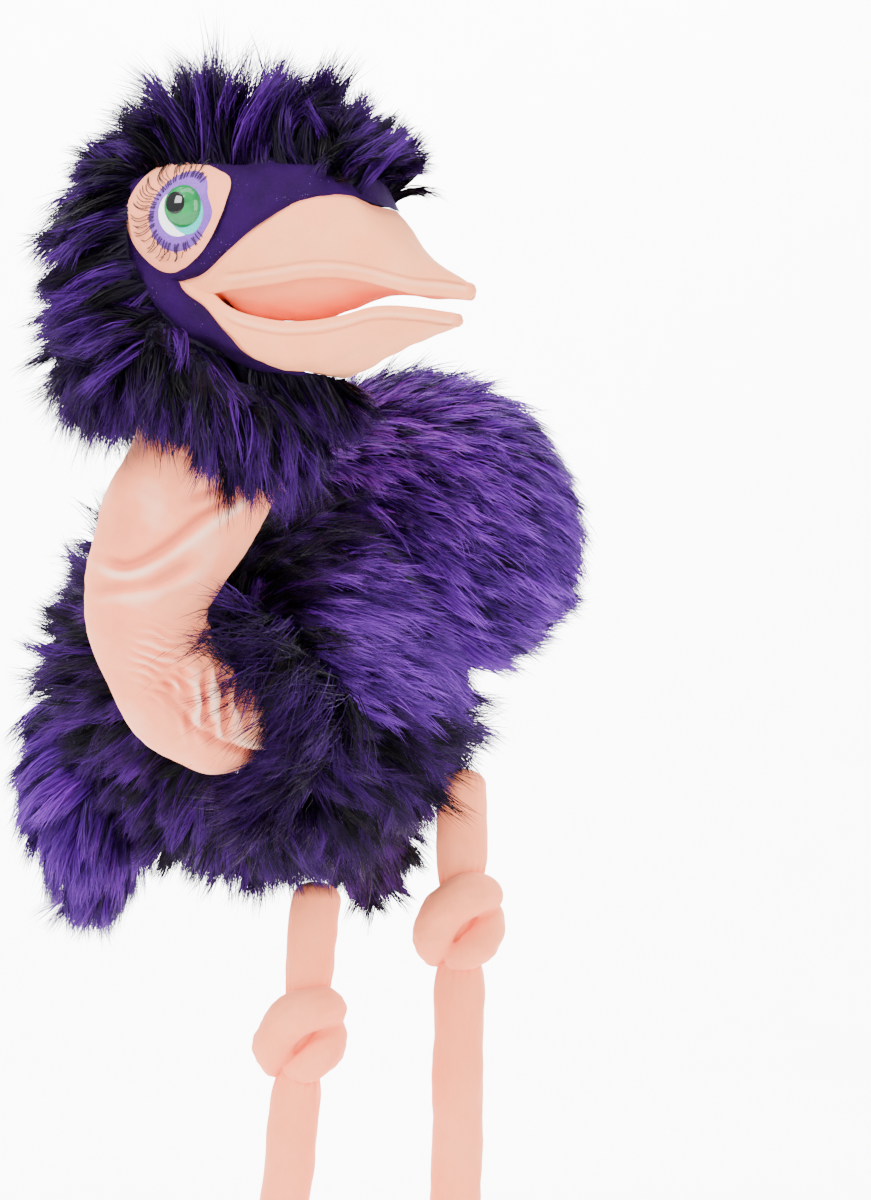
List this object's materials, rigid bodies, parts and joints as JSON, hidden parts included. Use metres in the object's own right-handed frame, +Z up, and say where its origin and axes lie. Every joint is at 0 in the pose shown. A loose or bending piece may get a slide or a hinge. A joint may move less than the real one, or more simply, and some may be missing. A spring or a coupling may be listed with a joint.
{
  "type": "moving mouth bird puppet",
  "caption": "Plush bird arm puppet with a long neck, a hinged beak worked by the hand, fur body, wings and knotted hanging legs.",
  "frame": {"origin": "centre of the arm opening at the body's back", "axes": "+Z up, +X the way the beak points before the head's small turn, +Y out of the arm opening, away from the audience"},
  "size_m": [0.348, 0.3808, 0.8536],
  "materials": {
    "body_fur": "long-pile fur, near-black with purple locks",
    "head_fur": "long-pile fur, near-black with purple locks",
    "wing_fur": "shorter dense bright purple fur",
    "dark_lining": "smooth woven lining",
    "stuffing": "polyester fibre and soft foam",
    "elastic": "woven elastic",
    "label_tape": "blank satin tape",
    "neck_velvet": "panne velvet with a pale sheen on its folds",
    "face_velour": "dark purple velour",
    "beak_velour": "peach velour with two seam lines",
    "mouth_cloth": "peach lining, darker towards the mouth's corner",
    "mouth_board": "stiff plastic board",
    "eye_patch_cloth": "peach velour",
    "embroidery": "lavender satin stitch",
    "clear_dome": "clear glossy",
    "green_iris": "glossy green with a black pupil",
    "washer_plastic": "satin",
    "leg_jersey": "peach brushed jersey",
    "pellets": "plastic pellets"
  },
  "bodies": {
    "torso": {"body_fur": "body_fur", "arm_sleeve_lining": "dark_lining", "body_stuffing": "stuffing", "arm_cuff": "dark_lining", "cuff_elastic": "elastic", "sewn_in_label": "label_tape", "tail_fur": "body_fur"},
    "neck_root": {"neck_root_band": "neck_velvet"},
    "neck": {"neck_sleeve_root": "neck_velvet", "neck_sleeve_elbow": "neck_velvet", "neck_sleeve_top": "neck_velvet"},
    "collar": {"neck_collar_band": "neck_velvet"},
    "head": {"head_fur_hood": "head_fur", "ruff_fur": "head_fur", "face_velour": "face_velour", "upper_beak_cover": "beak_velour", "head_foam": "stuffing", "upper_beak_foam": "stuffing", "finger_pocket": "dark_lining", "upper_mouth_board": "mouth_board", "upper_mouth_lining": "mouth_cloth", "upper_lip_band": "beak_velour", "mouth_corner_fold": "mouth_cloth", "eye_patch_right": "eye_patch_cloth", "eye_stitching_right": "embroidery", "eye_dome_right": "clear_dome", "eye_iris_right": "green_iris", "eye_washer_right": "washer_plastic", "eye_patch_left": "eye_patch_cloth", "eye_stitching_left": "embroidery", "eye_dome_left": "clear_dome", "eye_iris_left": "green_iris", "eye_washer_left": "washer_plastic"},
    "jaw": {"lower_beak_cover": "beak_velour", "lower_beak_foam": "stuffing", "thumb_pocket": "dark_lining", "lower_mouth_board": "mouth_board", "lower_mouth_lining": "mouth_cloth", "chin_velour": "face_velour", "chin_fur": "head_fur"},
    "wing_left": {"wing_left_fur": "wing_fur", "wing_left_lining": "dark_lining"},
    "wing_right": {"wing_right_fur": "wing_fur", "wing_right_lining": "dark_lining"},
    "upper_leg_right": {"thigh_right": "leg_jersey", "knee_knot_right": "leg_jersey"},
    "lower_leg_right": {"shin_right": "leg_jersey"},
    "foot_right": {"foot_right": "leg_jersey", "foot_pellets_right": "pellets"},
    "upper_leg_left": {"thigh_left": "leg_jersey", "knee_knot_left": "leg_jersey"},
    "lower_leg_left": {"shin_left": "leg_jersey"},
    "foot_left": {"foot_left": "leg_jersey", "foot_pellets_left": "pellets"}
  },
  "joints": [
    {"name": "neck_reach", "type": "hinge", "parent": "torso", "child": "neck_root", "pos_m": [0, -0.212, 0], "axis": [1, 0, 0], "range_deg": [0, 20]},
    {"name": "neck_lean", "type": "hinge", "parent": "neck_root", "child": "neck", "pos_m": [0, -0.212, 0], "axis": [0, 1, 0], "range_deg": [-22, 15]},
    {"name": "head_turn", "type": "hinge", "parent": "neck", "child": "collar", "pos_m": [-0.02, -0.2565, 0.149], "axis": [0.33, 0, 0.944], "range_deg": [-60, 30]},
    {"name": "head_nod", "type": "hinge", "parent": "collar", "child": "head", "pos_m": [-0.02, -0.2565, 0.149], "axis": [0.2588, 0.9659, 0], "range_deg": [-10, 12]},
    {"name": "jaw_open", "type": "hinge", "parent": "head", "child": "jaw", "pos_m": [-0.022, -0.256, 0.249], "axis": [0.2588, 0.9659, 0], "range_deg": [-3, 28]},
    {"name": "wing_left_flap", "type": "hinge", "parent": "torso", "child": "wing_left", "pos_m": [0.028, -0.084, 0.165], "axis": [0, -1, 0], "range_deg": [0, 35]},
    {"name": "wing_right_flap", "type": "hinge", "parent": "torso", "child": "wing_right", "pos_m": [-0.1, -0.084, 0.03], "axis": [0, 1, 0], "range_deg": [0, 35]},
    {"name": "hip_right", "type": "hinge", "parent": "torso", "child": "upper_leg_right", "pos_m": [0.036, -0.092, -0.112], "axis": [0.9945, 0, -0.1045], "range_deg": [-50, 45]},
    {"name": "knee_right", "type": "hinge", "parent": "upper_leg_right", "child": "lower_leg_right", "pos_m": [0.02346, -0.092, -0.23134], "axis": [0.9945, 0, -0.1045], "range_deg": [-45, 45]},
    {"name": "ankle_right", "type": "hinge", "parent": "lower_leg_right", "child": "foot_right", "pos_m": [0.00548, -0.092, -0.4024], "axis": [0.9945, 0, -0.1045], "range_deg": [-50, 25]},
    {"name": "hip_left", "type": "hinge", "parent": "torso", "child": "upper_leg_left", "pos_m": [0.126, -0.098, -0.042], "axis": [0.9998, 0, -0.0175], "range_deg": [-50, 45]},
    {"name": "knee_left", "type": "hinge", "parent": "upper_leg_left", "child": "lower_leg_left", "pos_m": [0.12391, -0.098, -0.16198], "axis": [0.9998, 0, -0.0175], "range_deg": [-45, 45]},
    {"name": "ankle_left", "type": "hinge", "parent": "lower_leg_left", "child": "foot_left", "pos_m": [0.1209, -0.098, -0.33396], "axis": [0.9998, 0, -0.0175], "range_deg": [-50, 25]}
  ]
}
